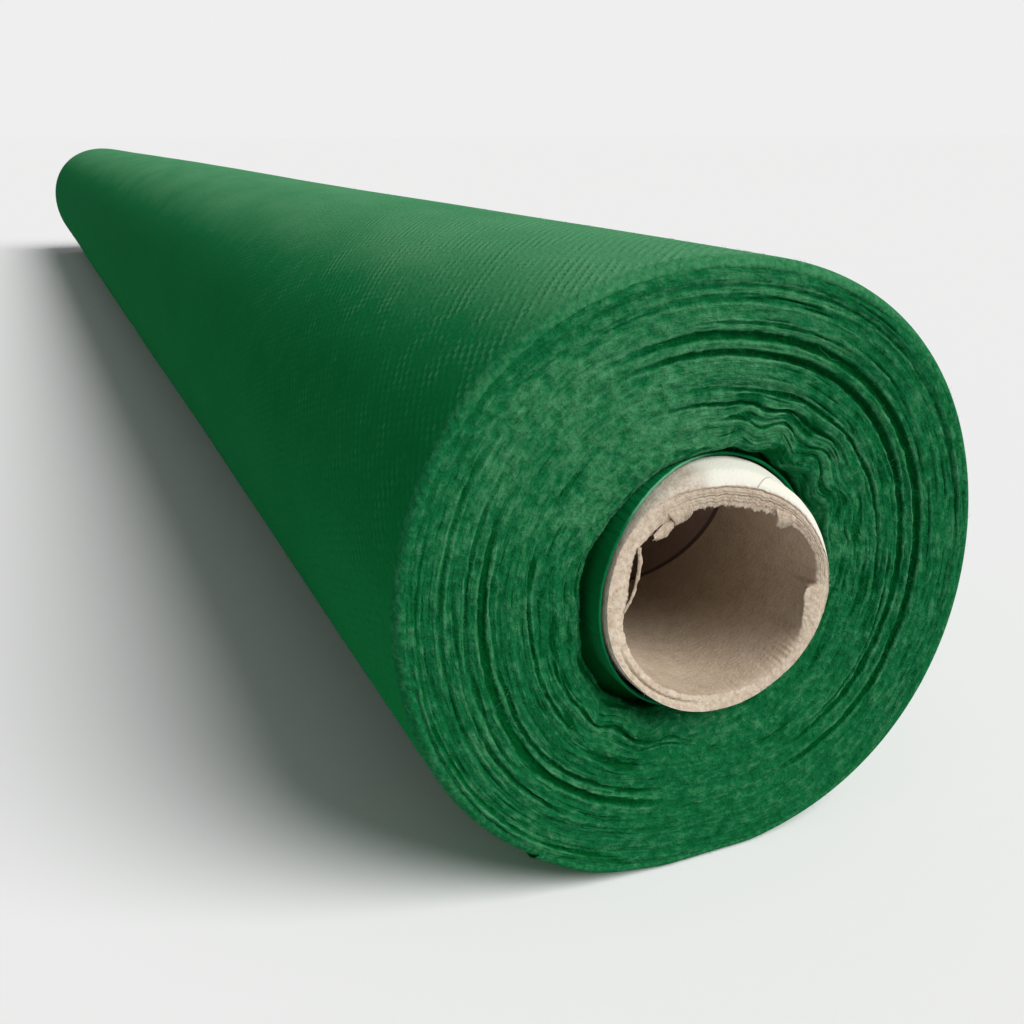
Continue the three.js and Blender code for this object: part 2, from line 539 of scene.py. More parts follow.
# %% The rule of one wound end, as a tree of nodes
def wound_end_tree():
    inputs = {**dict.fromkeys(NEAR, "Float"), "Columns": "Int", "Seed": "Float", "Material": "Material"}
    graph, given, value = mesh_graph("wound end", inputs)
    angle, wound, row_in_turn, wall = spiral_places(graph, value["Columns"])
    pattern = angle + value["Pattern turned by"]

    def slow(reach, per_turn, offset):
        """Noise that changes reach times a radian round the roll, and per_turn times a turn."""
        height = wound * per_turn + value["Seed"] + offset
        return graph.noise(graph.vector(cosine(angle) * reach, sine(angle) * reach, height))

    crisp = crispness(pattern, slow)

    # The radius: from the lip beside the core out to just under the outer turn
    outside = on_floor(section(angle, value["Section share"]), angle) - SKIN_INSET + UNDER_SKIN
    lip = lip_radius(pattern, value["Slackness"])
    share = (wound + row_in_turn / ROWS) / TURNS
    fold_in = (1.0 - share) * (outside - lip)
    inset = fold_in + SKIN_INSET - UNDER_SKIN
    bulge = buckled(pattern, share, slow) * rise(share, 1.0, 0.9)
    radius = largest(outside - fold_in + bulge, COLLAR_RADIUS + 0.15)

    # The depth: grooves, single slack turns, bands of slack turns, and the gap between two turns
    sunk, raised = grooved(pattern, inset, slow)
    sunk = sunk * value["Slackness"]
    threads = rise(slow(4.0, 0.62, 91.0), 0.15, 0.85) * crisp
    bands = rise(slow(3.0, 0.30, 191.0), 0.10, 0.60) * crisp * rise(share, 0.75, 0.3)
    between = rise(row_in_turn, 0.9, 0.1) * (rise(slow(3.2, 1.37, 55.0), -0.4, 1.1) * 0.4 + 0.06)
    top = slow(6.0, 0.83, 21.0) * 0.12 + slow(2.5, 0.27, 33.0) * 0.20

    # Lumps of felt, and the places where the inner turns are sunk beside the core
    felt_place = graph.vector(cosine(angle) * radius, sine(angle) * radius, wound * 0.3)
    lumps = graph.noise(felt_place, 0.34, 2.0, 0.6) * 0.40
    low = sunk_beside_core(pattern, share * (outside - lip), value["Slackness"])
    depth = face_depth(inset) + sunk - raised * 0.2 + threads * 0.35 + bands * 0.3
    depth = depth + (top + between) * crisp + lumps + low
    depth = depth + rise(share, 0.05, 0.0) * 1.0 + wall * WALL_STEP

    # The grid's points move there, and keep what the materials and the fuzz need to know
    x = radius * cosine(angle) * MM
    y = (value["Rim"] + depth * value["Inward"]) * MM
    z = (radius * sine(angle) + AXIS_HEIGHT) * MM
    size = {"Vertices X": value["Columns"] + 1.0, "Vertices Y": ROWS * TURNS + WALL_ROWS}
    grid = graph.out("GeometryNodeMeshGrid", None, size)
    mesh = graph.out("GeometryNodeSetPosition", None, {"Geometry": grid, "Position": graph.vector(x, y, z)})
    # sunk and lumps tell the edges' material where to paint shade, and raised where to paint a highlight
    kept = {"sunk": sunk + threads * 0.3 + bands * 0.40 + low * 0.12, "raised": raised,
            "wound": wound, "lumps": lumps + top,
            "fuzz": rise(sunk + low, 0.6, 0.1) * rise(wall, 0.5, 0.0)}
    for name, field in kept.items():
        settings = {"data_type": "FLOAT", "domain": "POINT"}
        sockets = {"Geometry": mesh, "Name": name, "Value": field}
        mesh = graph.out("GeometryNodeStoreNamedAttribute", settings, sockets)
    mesh = graph.out("GeometryNodeMergeByDistance", None, {"Geometry": mesh, "Distance": WELD * MM})
    return finish_mesh(graph, mesh, given["Material"])


# %% [markdown]
# A tree only describes a shape. This helper puts it on an object, sets its named inputs, lets
# Blender work it out, and keeps the result as a plain mesh with no modifier left.

# %% Turn a tree into a plain mesh object
def grown(name, tree, inputs, start=None):
    holder = new_object(name + "_growing", start or bpy.data.meshes.new(name + "_start"))
    modifier = holder.modifiers.new("grow", "NODES")
    modifier.node_group = tree
    for item in tree.interface.items_tree:
        if item.in_out == "INPUT" and item.name in inputs:
            modifier[item.identifier] = inputs[item.name]
    holder.update_tag()
    graph = bpy.context.evaluated_depsgraph_get()
    mesh = bpy.data.meshes.new_from_object(holder.evaluated_get(graph))
    mesh.name = name
    bpy.data.objects.remove(holder)
    return new_object(name, mesh)


def triangles(mesh):
    return sum(len(face.vertices) - 2 for face in mesh.polygons)


# %% [markdown]
# ## A felted surface
# Non-woven cloth is a mat of fibres pressed together, so it has no thread and no weave. Its colour
# is uneven in soft clouds, its grain is fine and matt, and stray fibres lighten it where it is
# seen at a low angle, which the sheen of the shader gives. All cloth here is one recipe with
# three colours, from a dark green that paints the shade in folds and grooves to the light of raised fibres.

# %% Shared parts of the cloth materials
FOLD_GREEN = (0.0003, 0.060, 0.012)
CLOTH_GREEN = (0.0060, 0.116, 0.037)
RAISED_GREEN = (0.067, 0.242, 0.110)


def material(name, paint):
    made = bpy.data.materials.new(name)
    made.use_nodes = True
    graph = Graph(made.node_tree)
    shader = graph.add("ShaderNodeBsdfPrincipled")
    graph.add("ShaderNodeOutputMaterial", None, {"Surface": shader.outputs["BSDF"]})
    paint(graph, shader)
    return made


def place_in_mm(graph):
    spot = graph.out("ShaderNodeTexCoord", None, None, "Object")
    return graph.out("ShaderNodeVectorMath", {"operation": "SCALE"}, {0: spot, "Scale": 1.0 / MM})


def place_round_axis(graph):
    """A place in mm, its x, y and height from the roll's axis, and its distance from the axis."""
    spot = place_in_mm(graph)
    x, y, z = graph.parts(spot)
    z = z - AXIS_HEIGHT
    return spot, x, y, z, square_root(x * x + z * z)


def place_on_sheet(graph):
    """Distances round and along the roll, in mm of real cloth or board."""
    around, along, _ = graph.parts(graph.out("ShaderNodeUVMap", {"uv_map": "real size"}))
    return around, along


def kept_number(graph, name):
    return graph.number("ShaderNodeAttribute", {"attribute_name": name}, None, "Fac")


def set_finish(shader, roughness, gloss):
    shader.inputs["Roughness"].default_value = roughness
    shader.inputs["Specular IOR Level"].default_value = gloss


def set_cloth(shader, sheen):
    set_finish(shader, 0.95, 0.01)
    shader.inputs["Sheen Weight"].default_value = sheen
    shader.inputs["Sheen Roughness"].default_value = 0.45
    shader.inputs["Sheen Tint"].default_value = (0.50, 1.0, 0.66, 1.0)


def set_bump(graph, shader, height, distance, strength=1.0):
    sockets = {"Strength": strength, "Distance": distance * MM, "Height": height}
    graph.feed(shader.inputs["Normal"], graph.out("ShaderNodeBump", None, sockets))


# %% The cut edges of the turns, lighter with raised fibres where the felted patch is, with painted shade in the grooves and painted light on their lips and beside the core
NAP_ANGLE = math.radians(112.0)
BUCKLED_ANGLE = math.radians(34.0)


def paint_edges(graph, shader):
    set_cloth(shader, 0.01)
    spot, x, _, z, radius = place_round_axis(graph)
    wound = kept_number(graph, "wound")

    def towards(angle):
        """1 on the side of the roll at an angle, and -1 opposite it."""
        return (x * math.cos(angle) + z * math.sin(angle)) / radius

    streak = graph.noise(graph.vector(x / radius * 17.0, z / radius * 17.0, wound * 0.42), 1.0, 3.0, 0.68)
    clouds = graph.noise(spot, 0.10, 2.0)
    grain = graph.noise(spot, 0.40, 3.0, 0.65)
    flecks = rise(graph.noise(spot, 1.1, 2.0, 0.6), 0.55, 1.0)
    lighter_side = rise(towards(NAP_ANGLE), 0.45, 1.0) * rise(radius, 76.0, 62.0)
    painted_light_beside_core = rise(towards(BUCKLED_ANGLE), 0.5, 0.95) * rise(radius, 54.0, 42.0)
    light = clouds * 0.14 + grain * 0.22 + streak * 0.34 + flecks * 0.25 + lighter_side * 0.22 + 0.43
    # Painted light: the buckled turns beside the core at the upper right are painted lighter, and the raised
    # lips of the grooves get a painted highlight
    light = light + painted_light_beside_core * 0.13 + kept_number(graph, "raised") * 0.26
    # Darker where the felt lumps and turn tops lie deeper, and painted shade in the sunk grooves, slack turns
    # and sunk places beside the core
    light = light - kept_number(graph, "lumps") * 0.35
    light = light - rise(kept_number(graph, "sunk"), 0.10, 0.55) * 0.62
    color = graph.ramp(light, (0.0, FOLD_GREEN), (0.45, CLOTH_GREEN), (1.0, RAISED_GREEN))
    graph.feed(shader.inputs["Base Color"], color)
    set_bump(graph, shader, grain * 0.45 + streak * 0.25, 0.9)


# %% The outside of the cloth, with its bonded dashes and painted light on its top and side
SHADE_GREEN = (0.0002, 0.140, 0.028)
SKIN_GREEN = (0.0060, 0.180, 0.052)
PAINTED_TOP_LIGHT_GREEN = (0.092, 0.310, 0.148)
DASH_AROUND = 0.336
DASH_ALONG = 0.306
DASH_ROWS_PER_MM = 0.4545
DASH_PITCH = 2.4


def paint_skin(graph, shader):
    set_cloth(shader, 0.01)
    spot, _, y, z, radius = place_round_axis(graph)
    upward = z / radius
    around, along = place_on_sheet(graph)
    sheet = graph.vector(around, along * 0.35, 0.0)
    drift = graph.noise(sheet, 0.10, 2.0)
    jitter = graph.noise(sheet, 0.55, 1.0)
    row = around * DASH_AROUND + along * DASH_ALONG + drift * 0.16 + jitter * 0.07
    beside = (along * DASH_AROUND - around * DASH_ALONG) * (1.0 / DASH_PITCH / DASH_ROWS_PER_MM)
    beside = beside + whole(row + 0.5) * 0.5 + drift * 0.3

    # Bonded dashes, in rows that are each shifted by half a pitch
    dash = rise(cosine(row * (2 * math.pi)) + cosine(beside * (2 * math.pi)) * 0.7, -0.6, 1.3)
    clouds = graph.noise(sheet, 0.045, 3.0)
    grain = graph.noise(spot, 0.8, 3.0, 0.6)
    uneven = rise(graph.noise(spot, 0.13, 2.5), -0.5, 0.9)

    # Painted light: the top is painted lighter, as light from above would make it. Below it, near the
    # near rim, the dashes are painted with more contrast and a little darker where grazing light
    # would show them, and the side is painted lighter towards the far end
    lighter_side = rise(upward, 0.50, 1.0) * (rise(y, FAR_RIM, NEAR_RIM + 200.0) * 0.2 + 0.8)
    painted_grazing_light = rise(upward, 0.05, 0.40) * rise(upward, 0.95, 0.65)
    painted_grazing_light = painted_grazing_light * rise(y, NEAR_RIM + 420.0, NEAR_RIM + 60.0)
    light = clouds * (lighter_side * 0.08 + 0.08) + grain * 0.10 + lighter_side * 0.72 + 0.16
    light = light + dash * uneven * (painted_grazing_light * 0.34 + 0.12) - painted_grazing_light * 0.10
    light = light + rise(y, NEAR_RIM + 100.0, FAR_RIM) * 0.13
    color = graph.ramp(light, (0.0, SHADE_GREEN), (0.4, SKIN_GREEN), (1.0, PAINTED_TOP_LIGHT_GREEN))

    # Felt where the outer turn rolls over the rims
    rolled_over = rise(FAR_RIM - abs(y), SHOULDER_DEEP + 0.9, 0.9)
    felted = clouds * 0.14 + grain * 0.30 + lighter_side * 0.2 + 0.48
    felted = graph.ramp(felted, (0.0, FOLD_GREEN), (0.45, CLOTH_GREEN), (1.0, RAISED_GREEN))
    color = graph.blend(rolled_over, color, felted)
    graph.feed(shader.inputs["Base Color"], color)
    set_bump(graph, shader, dash * uneven * 0.8 + grain * 0.35, 0.38)


# %% The collar, with a painted highlight on its edge at the upper left, and painted shade darkening its side as it goes down into the gap
def paint_collar(graph, shader):
    set_cloth(shader, 0.02)
    around, depth = place_on_sheet(graph)
    streak = graph.noise(graph.vector(around * 0.8, depth * 0.12, 0.0), 1.0, 2.0)
    # Painted shade: the side is painted darker the deeper it goes into the gap
    down = (depth + streak * 0.5) / 14.0
    color = graph.ramp(down, (0.0, (0.003, 0.12, 0.038)), (0.1, (0.002, 0.15, 0.042)),
                       (0.35, (0.001, 0.13, 0.030)), (0.7, (0.0008, 0.10, 0.018)))
    # Painted highlight: a pale mint line along the edge at the upper left, where light catches it
    painted_edge_highlight = window(around / COLLAR_RADIUS, 115.0, 28.0) * rise(depth, 0.35, 0.1)
    color = graph.blend(painted_edge_highlight * 0.6, color, (0.16, 0.46, 0.28))
    graph.feed(shader.inputs["Base Color"], color)
    set_bump(graph, shader, streak, 0.15)


CLOTH_SKIN = material("cloth skin", paint_skin)
CLOTH_EDGES = material("cut cloth edges", paint_edges)
COLLAR_CLOTH = material("collar cloth", paint_collar)
print("nodes in the skin's material:", len(CLOTH_SKIN.node_tree.nodes))


# %% Make both wound ends
def finish_piece(piece, slot_name, surface, *nodes):
    if not piece.data.materials:
        piece.data.materials.append(surface)
    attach(piece, "root")
    if nodes:
        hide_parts(*nodes)
    print(piece.name, triangles(piece.data), "triangles")
    return piece


def wound_end(name, end, columns, seed):
    inputs = {**end, "Columns": columns, "Seed": seed, "Material": CLOTH_EDGES}
    made = grown(name, WOUND_END, inputs)
    if sum(face.normal.y * face.area for face in made.data.polygons) * end["Inward"] > 0:
        made.data.flip_normals()
    return finish_piece(made, "nonwoven_cloth", CLOTH_EDGES)


WOUND_END = wound_end_tree()
print("the rule of a wound end has", len(WOUND_END.nodes), "nodes")
near_end = wound_end("near_wound_end", NEAR, 520, 3.0)
far_end = wound_end("far_wound_end", FAR, 360, 61.0)

# %% [markdown]
# ## The outer turn
# The outermost turn is the skin that most of the object shows. It is one sheet that goes all the
# way round, ends in a free edge low on the left, and rolls softly over the rim at both ends. There
# it is rubbed as felty as the cut edges beside it, so its dashes fade out. Its rings are made in
# NumPy, with a body behind it, so that it is one closed shape and nothing can be seen through it.
# Low, slow waves keep the light on it from being perfectly even.

# %% The radius of the outer turn
SIDE_SWELL = {"along": (0.0, 0.05, 0.2, 0.35, 0.5, 0.65, 0.8, 0.95, 1.0),
              "swell": (0.0, 0.1, -0.2, 0.3, 0.5, 0.3, -0.2, 0.1, 0.0)}


def side_wave(angle, along):
    """Low waves of the outer turn, in mm."""
    long_wave = np.sin(along / 118.0 + 1.3 * np.sin(angle)) * np.sin(2 * angle + along / 410.0)
    short_wave = np.sin(along / 31.0 + 2.0 * np.cos(angle - 0.6)) * np.sin(5 * angle - along / 97.0)
    return 0.16 * long_wave + 0.06 * short_wave


def hill(angle, middle, half_span):
    """1 at the middle and 0 at half a span away and beyond, for an angle in radians."""
    away = np.abs((np.degrees(angle) - middle + 180.0) % 360.0 - 180.0) / half_span
    return (1.0 + np.cos(np.pi * np.minimum(away, 1.0))) / 2.0


def skin_radius(angle, along):
    """Radius of the outer turn, with the lap: one thickness of cloth is lost in a full turn."""
    length_share = (along - NEAR_RIM) / (FAR_RIM - NEAR_RIM)
    share = 1.0 + (FAR_ROUNDING - 1.0) * length_share
    swell = np.interp(length_share, SIDE_SWELL["along"], SIDE_SWELL["swell"])
    turned = (np.degrees(angle) - LAP_END) / 360.0
    lap = CLOTH_THICKNESS * (0.5 - turned)
    slack = LAP_SLACK * hill(angle, LAP_END + LAP_SLACK_SPAN / 2, LAP_SLACK_SPAN / 2) * (turned < 0.5)
    radius = section(angle, share) + swell + lap + slack + side_wave(angle, along)
    return on_floor(radius, angle)


# %% The columns of the outer turn, and of the body behind it
SKIN_COLUMNS = 360
SIDE_RINGS = 96
WALL_DEPTH = 10.0
GAP_DEPTH = 10.5
LAP_UNDER = 3.0


def lap_columns():
    """Angle and lift of each column: once round from the free edge, then under it and back."""
    turned = np.linspace(0.0, 360.0, SKIN_COLUMNS + 1)
    lift = 0.45 * np.exp(-turned / 2.5)
    angles = np.concatenate([turned, [360.0 + LAP_UNDER, 360.0 + LAP_UNDER, 360.05]])
    lifts = np.concatenate([lift[:-1], [0.0], [0.02, 0.10, 0.42]])
    measured_at = np.concatenate([turned, [360.0 + LAP_UNDER, LAP_UNDER, 0.0]])
    return np.radians(LAP_END + angles), lifts, np.radians(LAP_END + measured_at)


# %% The rings over the rims
def end_profile(end):
    """Rings from the collar out to the side: how far in from the skin, or a radius, and how deep."""
    rings = [("radius", CLOTH_INSIDE + 0.3, GAP_DEPTH), ("lip", 1.0, GAP_DEPTH), ("lip", 1.0, WALL_DEPTH),
             ("inset", SHOULDER_IN + 0.6, WALL_DEPTH), ("inset", SHOULDER_IN + 0.5, 1.1),
             ("inset", SHOULDER_IN + 0.25, 0.55), ("inset", SHOULDER_IN + 0.05, 0.4)]
    for turn in np.radians([78, 64, 50, 36, 22, 8]):
        depth = SHOULDER_DEEP * (1 - math.sin(turn)) + 0.12
        rings.append(("inset", SHOULDER_IN * (1 - math.cos(turn)), depth))
    return [(kind, size, end["Rim"] + end["Inward"] * depth) for kind, size, depth in rings]


# %% The mesh of the outer turn
def outer_turn():
    angle, lift, measured_at = lap_columns()
    side = np.linspace(NEAR_RIM + SHOULDER_DEEP + 1.0, FAR_RIM - SHOULDER_DEEP - 1.0, SIDE_RINGS)
    profile = end_profile(NEAR) + [("inset", 0.0, along) for along in side] + end_profile(FAR)[::-1]
    under = np.arange(len(angle)) >= SKIN_COLUMNS + 2
    spots, uvs, fuzz = [], [], []
    travelled, place = 0.0, None
    for kind, size, along in profile:
        skin = skin_radius(measured_at, along) + lift - CLOTH_THICKNESS * 0.6 * under
        lip = lip_at(angle, NEAR if along < 0 else FAR)
        radius = {"radius": size + 0 * skin, "lip": lip + size, "inset": skin - size}[kind]
        spots.append(at_angle(radius, along, angle))
        here = np.array([radius.mean(), along])
        travelled += 0.0 if place is None else float(np.hypot(*(here - place)))
        place = here
        around = np.append(angle, angle[-1]) * ROLL_RADIUS
        uvs.append(np.stack([around, np.full(len(around), travelled)], axis=-1))
        rim_distance = min(along - NEAR_RIM, FAR_RIM - along)
        above_floor = rise(AXIS_HEIGHT + radius * np.sin(angle), 1.5, 6.0)
        shown = kind == "inset" and size < SHOULDER_IN
        fuzz.append(above_floor * shown * (0.12 + 0.88 * math.exp(-rim_distance / 60.0)))
    uvs.append(uvs[-1] + [0.0, 1.0])
    mesh = closed_grid("outer_turn", np.array(spots), np.array(uvs))
    mark_points(mesh, "fuzz", np.array(fuzz))
    turn_outwards(mesh)
    return mesh


skin = finish_piece(new_object("outer_turn", outer_turn()), "nonwoven_cloth", CLOTH_SKIN, "cloth_roll")

# %% [markdown]
# ## The collar
# The first turns cling to the tube and were pulled out with it, so a green band stands beside the
# board, and its side is seen going down into the gap. It is a thin closed ring at each end, with a
# foot that closes the bottom of the gap. At the near end it has slid back everywhere but on the
# left, so the bare tube shows there. Its edge is ragged, because the first turns never line up.

# %% The collar
FOOT = 12.0


def collar(name, end, slid_back):
    angle = np.linspace(0.0, 2 * math.pi, 360, endpoint=False)
    ragged = 0.10 * wobble(angle, 4, 24, 5) + 0.06 * wobble(angle, 40, 90, 6)
    edge = -0.1 + slid_back * (1.0 - hill(angle, 190.0, 110.0)) ** 2 + ragged
    lip = lip_at(angle, end) + 0.6
    foot = [(CLOTH_INSIDE + 0.06, FOOT), (lip, FOOT), (lip, FOOT - 0.3), (COLLAR_RADIUS + 0.15, FOOT - 0.3)]
    wall = [(COLLAR_RADIUS, 7.0), (COLLAR_RADIUS, 3.5), (COLLAR_RADIUS, 1.2), (COLLAR_RADIUS - 0.03, 0.4),
            (COLLAR_RADIUS - 0.14, 0.12), (COLLAR_RADIUS - 0.34, 0.0), (CLOTH_INSIDE + 0.16, 0.1),
            (CLOTH_INSIDE + 0.06, 0.5)]
    places = [(radius, GAP_DEPTH - 0.3 - FOOT + below) for radius, below in foot]
    places += [(radius, np.minimum(edge + below, GAP_DEPTH - 0.8)) for radius, below in wall]
    spots = [at_angle(radius + 0.03 * wobble(angle, 5, 30, 7), end["Rim"] + end["Inward"] * depth, angle)
             for radius, depth in places]
    below = np.array([below for _, below in foot + wall] + [FOOT])
    around = np.append(angle, 2 * math.pi) * COLLAR_RADIUS
    mesh = closed_grid(name, np.array(spots), np.stack(np.meshgrid(around, below), axis=-1))
    turn_outwards(mesh)
    finish_piece(new_object(name, mesh), "nonwoven_cloth", COLLAR_CLOTH)


collar("near_collar", NEAR, 6.3)
collar("far_collar", FAR, 0.0)

# %% [markdown]
# ## The board tube
# The tube is wound from strips of grey-brown board with a white liner outside. Its near end was
# torn and pressed in at the top: the outside bends down in a smooth pale crescent to a crease, and
# from there the plies fan out to a ragged inner edge. A modifier could roughen a plain tube, but
# this damage has a place and a shape. So a table gives three edges round the rim, the outside, the
# crease and the inside, and the rings of the mesh run through them.

# %% The torn rim, in mm and degrees
RIM = table("angle outside crease inside",
    (-160, 28.9, 28.6, 24.7), (-135, 28.5, 28.2, 25.0), (-110, 29.1, 28.8, 25.2), (-87, 29.2, 28.9, 25.6),
    (-60, 29.2, 28.9, 27.3), (-36, 29.7, 29.4, 26.8), (-26, 29.6, 29.3, 24.8), (-12, 29.3, 29.0, 22.7),
    (-7, 29.2, 28.9, 22.9), (-5, 29.2, 28.8, 25.9), (8, 29.0, 28.0, 25.6), (16, 28.7, 27.2, 24.9),
    (29, 28.3, 26.2, 23.1), (50, 27.7, 25.1, 20.8), (63, 27.5, 24.5, 19.7), (79, 27.9, 24.3, 19.4),
    (96, 28.4, 24.8, 19.9), (107, 28.7, 25.8, 20.5), (118, 28.9, 27.2, 21.0), (130, 29.0, 28.2, 22.6),
    (150, 29.0, 28.6, 24.2), (161, 28.9, 28.5, 23.6), (169, 28.8, 28.4, 23.1), (176, 28.7, 28.4, 23.0),
    (184, 28.8, 28.4, 23.8), (190, 28.9, 28.5, 24.5))
PLIES = 6
BOARD_COLUMNS = 720
print(len(RIM), "places round the rim")


def rim_edge(name, angle, softness=1.6):
    """Radius of one edge of the rim at an angle, smoothed a little."""
    angles = [row["angle"] for row in RIM]
    sizes = [row[name] for row in RIM]
    shifts = np.linspace(-softness, softness, 5)
    return sum(np.interp(np.degrees(angle) + s, angles, sizes, period=360) for s in shifts) / len(shifts)


def rim_depth(angle):
    """The end is cut a little aslant, so that it stands furthest out at the lower right."""
    return -2.2 - 1.9 * np.cos(angle + math.radians(45.0))


# %% The fanned plies of the torn edge
def ply_rings(angle):
    """The torn end of the board, from the crease to the inner edge: radius, depth and share."""
    crease = rim_edge("crease", angle) + 0.06 * wobble(angle, 20, 80, 11)
    torn = hill(angle, 62.0, 75.0)
    ragged = (0.10 + 0.22 * torn) * wobble(angle, 12, 50, 12)
    ragged = ragged + (0.05 + 0.14 * torn) * wobble(angle, 60, 160, 13)
    inside = rim_edge("inside", angle, 0.6) + ragged
    rings = []
    for share in np.linspace(0.0, 1.0, 2 * PLIES + 1):
        radius = crease + (inside - crease) * share
        ply = (share * PLIES) % 1.0
        step = (0.02 + 0.20 * torn) * (ply - 0.5) * wobble(angle, 3, 12, 14 + int(share * PLIES))
        grain = 0.09 * wobble(angle, 30, 120, 30 + int(share * 2 * PLIES))
        crack = 0.9 * np.exp(-((radius - 26.9) / 0.32) ** 2) * window(angle, -129.0, 34.0)
        depth = rim_depth(angle) + 0.15 + 0.9 * share * share + step + grain + crack
        rings.append((radius, depth, share))
    return rings


# %% All rings of the tube
def board_rings(angle):
    """All rings of the tube, with the zone each belongs to: 0 liner, 1 torn edge, 2 bore."""
    front = rim_depth(angle)
    outside = rim_edge("outside", angle, 5.0)
    crease = rim_edge("crease", angle)
    far = FAR_RIM + CORE_PROUD - NEAR_RIM
    rings = []
    # The outside bends down to the crease
    for depth, share in ((8.0, 0.0), (5.5, 0.25), (4.2, 0.6)):
        rings.append((TUBE_OUTSIDE + (outside - TUBE_OUTSIDE) * share, depth + 0 * angle, 0.0, 0.0))
    for past, share in ((2.3, 0.0), (1.4, 0.14), (0.7, 0.42), (0.3, 0.68), (0.08, 0.9)):
        dent = 0.04 * wobble(angle, 6, 30, 21)
        rings.append((outside + (crease - outside) * share + dent, front + past, 0.0, 0.0))
    for radius, depth, share in ply_rings(angle):
        rings.append((radius, depth, 1.0, share))
    # The bore widens from the torn inner edge to the tube's own size
    inside, lowest = rings[-1][0], rings[-1][1]
    thin_lip = 1.0 - 0.7 * (1.0 - hill(angle, 72.0, 75.0))
    for past, share in ((0.5, 0.02), (1.4, 0.12), (3.0, 0.35), (6.0, 0.7), (10.0, 0.94), (14.0, 1.0)):
        rings.append((inside + (TUBE_INSIDE - inside) * share ** thin_lip, lowest + past, 2.0, 1.0))
    for depth in (25.0, 60.0, 200.0, 800.0, far - 40.0):
        rings.append((TUBE_INSIDE + 0 * angle, depth + 0 * angle, 2.0, 1.0))
    # The far end is cut cleanly
    for radius, back, zone, share in ((TUBE_INSIDE, 1.0, 2.0, 1.0), (TUBE_INSIDE + 0.3, 0.1, 1.0, 1.0),
                                      (26.5, 0.0, 1.0, 0.7), (28.0, 0.02, 1.0, 0.3),
                                      (TUBE_OUTSIDE - 0.2, 0.08, 1.0, 0.0), (TUBE_OUTSIDE, 0.6, 0.0, 0.0),
                                      (TUBE_OUTSIDE, 40.0, 0.0, 0.0)):
        rough = 0.05 * wobble(angle, 10, 90, 25) * (back < 0.5)
        rings.append((radius + rough, far - back + rough, zone, share))
    rings.append((TUBE_OUTSIDE + 0 * angle, 800.0 + 0 * angle, 0.0, 0.0))
    return rings


# %% The mesh of the tube
def board_tube():
    angle = np.linspace(0.0, 2 * math.pi, BOARD_COLUMNS, endpoint=False)
    rings = board_rings(angle)
    spots = np.array([at_angle(radius, NEAR_RIM + depth, angle) for radius, depth, _, _ in rings])
    around = np.append(angle, 2 * math.pi) * TUBE_OUTSIDE
    depths = np.array([np.append(depth, depth[0]) for _, depth, _, _ in rings])
    uvs = np.stack([np.broadcast_to(around, depths.shape), depths], axis=-1)
    mesh = closed_grid("core_board", spots, np.concatenate([uvs, uvs[-1:]]))
    mark_points(mesh, "zone", np.repeat([zone for _, _, zone, _ in rings], BOARD_COLUMNS))
    mark_points(mesh, "ply", np.repeat([share for _, _, _, share in rings], BOARD_COLUMNS))
    torn = hill(angle, 62.0, 90.0) * 0.8 + 0.2
    near = [(0.3 + 0.7 * share) * (zone == 1.0 and depth[0] < 20) for _, depth, zone, share in rings]
    mark_points(mesh, "fuzz", np.outer(near, torn))
    turn_outwards(mesh)
    return mesh


# %% The board's colours and the place of its seam
LINER = (0.70, 0.69, 0.61)
PULP = [(0.0, (0.24, 0.17, 0.11)), (0.45, (0.47, 0.38, 0.285)), (1.0, (0.65, 0.58, 0.48))]
KRAFT = [(0.0, (0.26, 0.19, 0.135)), (0.5, (0.48, 0.38, 0.28)), (1.0, (0.66, 0.57, 0.46))]
REDDISH = (0.49, 0.33, 0.28)
DARK_SPECK = (0.20, 0.13, 0.085)
PLY_SHADE = (0.17, 0.105, 0.065)
STAIN = (0.12, 0.075, 0.05)
OLD_GLUE = (0.22, 0.145, 0.15)
SEAM_SHADE = (0.05, 0.028, 0.025)
WORN_DARK = (0.42, 0.34, 0.27)
WORN_LIGHT = (0.58, 0.52, 0.44)
CREASE_SHADE = (0.22, 0.20, 0.17)
SEAM_START = 39.5
SEAM_SLOPE = -0.30
SEAM_LEAD = 108.0
PLY_LINES = ((0.06, 1.0), (0.30, 0.6), (0.42, 0.9), (0.58, 0.4), (0.74, 0.7))


# %% The torn edge: pulp with reddish patches and dark specks, and lines between the plies
def torn_pulp(graph, spot, around, grain, blots):
    """Its colour, and its lines, which the bump needs too."""
    pulp = graph.ramp(grain * 0.20 + blots * 0.36 + 0.56, *PULP)
    pulp = graph.blend(rise(graph.noise(spot, 0.30, 1.0), 0.1, 0.9) * 0.4, pulp, REDDISH)
    specks = rise(graph.noise(spot, 0.9, 2.0, 0.7), 0.45, 0.95)
    pulp = graph.blend(specks * 0.45, pulp, DARK_SPECK)
    fanned = window(around / TUBE_OUTSIDE, 58.0, 78.0)
    warp = grain * 0.02 + graph.noise(graph.vector(around * 0.25, 0.0, 0.0), 1.0, 2.0) * 0.03
    ply = kept_number(graph, "ply")
    lines = 0.0
    for place, strength in PLY_LINES:
        lines = rise(abs(ply + warp - place), 0.055, 0.012) * strength + lines
    lines = lines * (fanned * 0.9 + 0.05) * (rise(blots, -1.0, 0.6) * 0.7 + 0.3)
    return graph.blend(lines * 0.85, pulp, PLY_SHADE), lines


